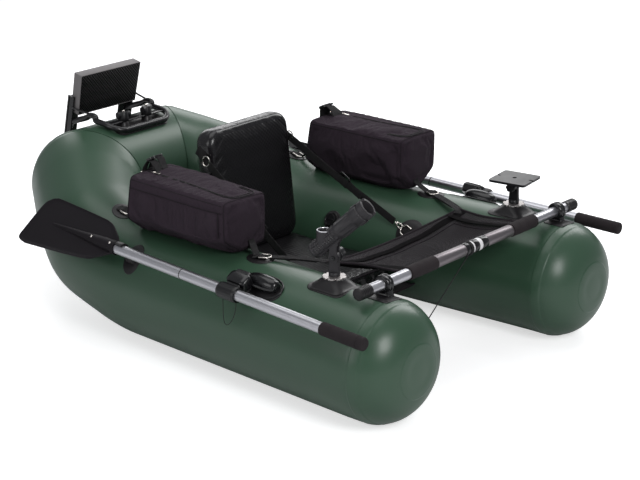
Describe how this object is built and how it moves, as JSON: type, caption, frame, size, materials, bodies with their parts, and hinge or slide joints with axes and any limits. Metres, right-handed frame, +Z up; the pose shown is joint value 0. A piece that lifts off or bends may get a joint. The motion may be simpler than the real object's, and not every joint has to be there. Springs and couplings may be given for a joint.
{
  "type": "float tube",
  "caption": "Open-fronted U-shaped inflatable float tube with seat, padded backrest, oars in oarlocks, side bags, accessory mounts and a stern motor mount.",
  "frame": {"origin": "on the ground under the middle of the hull's length and width", "axes": "+X to the sitter's left, +Y towards the stern, +Z up; the open front faces -Y"},
  "size_m": [1.1832, 1.6091, 0.6286],
  "materials": {
    "hull_skin": "satin dark green coated fabric",
    "black_plastic": "black moulded plastic",
    "black_rubber": "black moulded rubber",
    "black_padding": "black coated cover over foam",
    "black_cloth": "black woven bag cloth",
    "black_webbing": "black webbing",
    "black_mesh": "black open mesh",
    "black_foam": "black closed-cell foam",
    "grey_plastic": "dark grey moulded plastic",
    "bare_alloy": "anodised tube",
    "bright_steel": "bright steel",
    "black_frame": "black powder-coated steel",
    "grey_board": "dark grey board with a diamond-textured face",
    "black_line": "thin black line"
  },
  "bodies": {
    "hull": {"apron": "black_mesh", "bar_cord": "black_line", "cord_eyelet": "black_rubber", "crossbar_tube": "bare_alloy", "left_accessory_pad": "black_rubber", "left_backrest_strap": "black_webbing", "left_bag": "black_cloth", "left_bar_end_cap": "black_rubber", "left_bar_loop": "black_rubber", "left_foam_sleeve": "black_foam", "left_front_bag_anchor": "black_rubber", "left_oar_clip": "black_rubber", "left_oarlock_base": "black_rubber", "left_pontoon": "hull_skin", "left_rear_bag_anchor": "black_rubber", "left_star_plate": "bright_steel", "left_strap_anchor": "black_rubber", "left_valve": "black_rubber", "right_accessory_pad": "black_rubber", "right_backrest_strap": "black_webbing", "right_bag": "black_cloth", "right_bar_end_cap": "black_rubber", "right_bar_loop": "black_rubber", "right_foam_sleeve": "black_foam", "right_front_bag_anchor": "black_rubber", "right_oar_clip": "black_rubber", "right_oarlock_base": "black_rubber", "right_pontoon": "hull_skin", "right_rear_bag_anchor": "black_rubber", "right_star_plate": "bright_steel", "right_strap_anchor": "black_rubber", "right_valve": "black_rubber", "seat_cushion": "black_padding", "seat_floor": "black_webbing", "stern_frame": "black_frame", "stern_pad": "black_rubber", "stern_tube": "hull_skin", "transom_board": "grey_board"},
    "right_oarlock": {"right_oarlock": "black_plastic", "right_oar_tether": "black_line"},
    "left_oarlock": {"left_oarlock": "black_plastic"},
    "right_oar": {"right_oar_shaft": "bare_alloy", "right_oar_blade": "black_plastic", "right_oar_grip": "black_foam"},
    "left_oar": {"left_oar_shaft": "bare_alloy", "left_oar_blade": "black_plastic", "left_oar_grip": "black_foam"},
    "rod_holder_post": {"rod_holder_post": "grey_plastic"},
    "rod_holder_tube": {"rod_holder_tube": "grey_plastic"},
    "rod_holder_knob": {"rod_holder_knob": "grey_plastic"},
    "finder_post": {"finder_post": "black_plastic"},
    "finder_plate": {"finder_plate": "black_plastic"},
    "finder_knob": {"finder_knob": "black_plastic"},
    "backrest": {"backrest": "black_padding"},
    "right_clamp_knob": {"right_clamp_knob": "black_plastic"},
    "left_clamp_knob": {"left_clamp_knob": "black_plastic"},
    "right_valve_cap": {"right_valve_cap": "black_plastic"},
    "left_valve_cap": {"left_valve_cap": "black_plastic"},
    "right_zip_pull": {"right_zip_pull": "bright_steel"},
    "left_zip_pull": {"left_zip_pull": "bright_steel"}
  },
  "joints": [
    {"name": "right_oarlock_swing", "type": "hinge", "parent": "hull", "child": "right_oarlock", "pos_m": [-0.50883, -0.3015, 0.32315], "axis": [-0.5592, 0, 0.829], "range_deg": [0, 13]},
    {"name": "left_oarlock_swing", "type": "hinge", "parent": "hull", "child": "left_oarlock", "pos_m": [0.50883, -0.3015, 0.32315], "axis": [-0.5592, 0, -0.829], "range_deg": [0, 10]},
    {"name": "right_oar_feather", "type": "hinge", "parent": "right_oarlock", "child": "right_oar", "pos_m": [-0.54862, -0.3015, 0.2963], "axis": [-0.0538, -0.9982, -0.0259], "range_deg": [0, 45]},
    {"name": "left_oar_feather", "type": "hinge", "parent": "left_oarlock", "child": "left_oar", "pos_m": [0.54862, -0.3015, 0.2963], "axis": [-0.0538, 0.9982, 0.0259], "range_deg": [0, 45]},
    {"name": "rod_holder_swivel", "type": "hinge", "parent": "hull", "child": "rod_holder_post", "pos_m": [-0.396, -0.5265, 0.36], "axis": [0, 0, 1], "range_deg": [-90, 90]},
    {"name": "rod_holder_tilt", "type": "hinge", "parent": "rod_holder_post", "child": "rod_holder_tube", "pos_m": [-0.396, -0.5265, 0.4036], "axis": [0.9483, 0.3173, 0], "range_deg": [-30, 45]},
    {"name": "rod_knob_turn", "type": "hinge", "parent": "rod_holder_tube", "child": "rod_holder_knob", "pos_m": [-0.396, -0.5265, 0.4036], "axis": [0.9483, 0.3173, 0], "continuous": true},
    {"name": "finder_swivel", "type": "hinge", "parent": "hull", "child": "finder_post", "pos_m": [0.396, -0.5265, 0.36], "axis": [0, 0, 1], "range_deg": [-90, 90]},
    {"name": "finder_tilt", "type": "hinge", "parent": "finder_post", "child": "finder_plate", "pos_m": [0.396, -0.5265, 0.4056], "axis": [-0.989, -0.1478, 0], "range_deg": [-35, 35]},
    {"name": "finder_knob_turn", "type": "hinge", "parent": "finder_plate", "child": "finder_knob", "pos_m": [0.396, -0.5265, 0.4056], "axis": [-0.989, -0.1478, 0], "continuous": true},
    {"name": "backrest_fold", "type": "hinge", "parent": "hull", "child": "backrest", "pos_m": [0, 0.0845, 0.1866], "axis": [1, 0, 0], "range_deg": [0, 80], "deforming": ["right_backrest_strap", "left_backrest_strap"]},
    {"name": "right_clamp_knob_turn", "type": "hinge", "parent": "hull", "child": "right_clamp_knob", "pos_m": [-0.048, 0.6065, 0.49], "axis": [0, 0, 1], "continuous": true},
    {"name": "right_valve_cap_turn", "type": "hinge", "parent": "hull", "child": "right_valve_cap", "pos_m": [-0.21305, -0.0035, 0.23331], "axis": [0.9063, 0, 0.4226], "continuous": true},
    {"name": "right_zip_slide", "type": "slide", "parent": "hull", "child": "right_zip_pull", "axis": [0, -1, 0], "range_m": [0, 0.27]},
    {"name": "left_clamp_knob_turn", "type": "hinge", "parent": "hull", "child": "left_clamp_knob", "pos_m": [0.048, 0.6065, 0.49], "axis": [0, 0, 1], "continuous": true},
    {"name": "left_valve_cap_turn", "type": "hinge", "parent": "hull", "child": "left_valve_cap", "pos_m": [0.21305, -0.0035, 0.23331], "axis": [-0.9063, 0, 0.4226], "continuous": true},
    {"name": "left_zip_slide", "type": "slide", "parent": "hull", "child": "left_zip_pull", "axis": [0, -1, 0], "range_m": [0, 0.27]}
  ]
}
